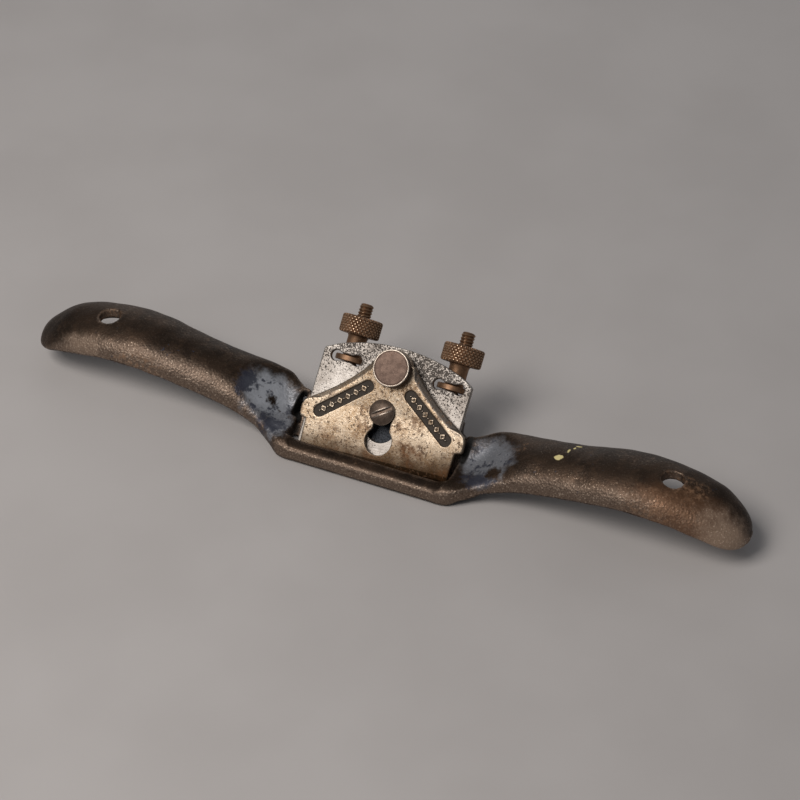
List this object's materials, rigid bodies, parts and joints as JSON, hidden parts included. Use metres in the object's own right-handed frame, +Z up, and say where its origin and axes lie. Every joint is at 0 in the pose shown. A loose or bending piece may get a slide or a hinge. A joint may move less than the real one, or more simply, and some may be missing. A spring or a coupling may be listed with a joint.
{
  "type": "spokeshave",
  "caption": "Metal spokeshave with flat sole, raised hollow-backed handles, sloping cutter under a lever cap, and twin knurled adjusting nuts on studs.",
  "frame": {"origin": "on the sole, midway between the handles, inside the throat behind the toe bar", "axes": "+X along the right-hand handle, +Y from the toe back to the heel, +Z up from the sole"},
  "size_m": [0.2544, 0.0502, 0.0344],
  "materials": {
    "body_casting": "worn japanning over cast iron, dark brown with blue-grey remains",
    "cutter": "bright steel with dark pitting",
    "lever_cap": "worn nickel, tanned, with rust speckle",
    "thumb_screw": "oxidised brown steel with a bright worn rim",
    "cap_screw": "oxidised dark brown steel",
    "adjusting_stud": "rusty brown threaded steel",
    "adjusting_nut": "oxidised brown knurled steel"
  },
  "bodies": {
    "frame": {"body_casting": "body_casting", "adjusting_stud_left": "adjusting_stud", "adjusting_stud_right": "adjusting_stud"},
    "blade": {"cutter": "cutter"},
    "cap": {"lever_cap": "lever_cap"},
    "thumb": {"thumb_screw": "thumb_screw"},
    "cap_screw": {"cap_screw": "cap_screw"},
    "nut_left": {"adjusting_nut_left": "adjusting_nut"},
    "nut_right": {"adjusting_nut_right": "adjusting_nut"}
  },
  "joints": [
    {"name": "cutter_slide", "type": "slide", "parent": "frame", "child": "blade", "axis": [0, 0.7071, 0.7071], "range_m": [-0.00106, 0.00424]},
    {"name": "nut_left_turn", "type": "hinge", "parent": "blade", "child": "nut_left", "pos_m": [-0.0184, 0.0306, 0.02722], "axis": [0, 0.7071, 0.7071], "range_deg": [-361, 1441]},
    {"name": "nut_right_turn", "type": "hinge", "parent": "blade", "child": "nut_right", "pos_m": [0.0184, 0.0306, 0.02722], "axis": [0, 0.7071, 0.7071], "range_deg": [-361, 1441]},
    {"name": "cap_slide", "type": "slide", "parent": "frame", "child": "cap", "axis": [-0.0454, 0.7064, 0.7064], "range_m": [0, 0.0095]},
    {"name": "thumb_screw_turn", "type": "hinge", "parent": "cap", "child": "thumb", "pos_m": [0, 0.01568, 0.02715], "axis": [0, -0.7071, 0.7071], "range_deg": [-180, 720]},
    {"name": "cap_screw_turn", "type": "hinge", "parent": "frame", "child": "cap_screw", "pos_m": [0, 0.00741, 0.01464], "axis": [0, -0.7071, 0.7071], "range_deg": [-90, 1080]}
  ],
  "couplings": [
    {"joint": "nut_left_turn", "follows": "cutter_slide", "rad_per_m": 5927.5},
    {"joint": "nut_right_turn", "follows": "cutter_slide", "rad_per_m": 5927.5}
  ]
}
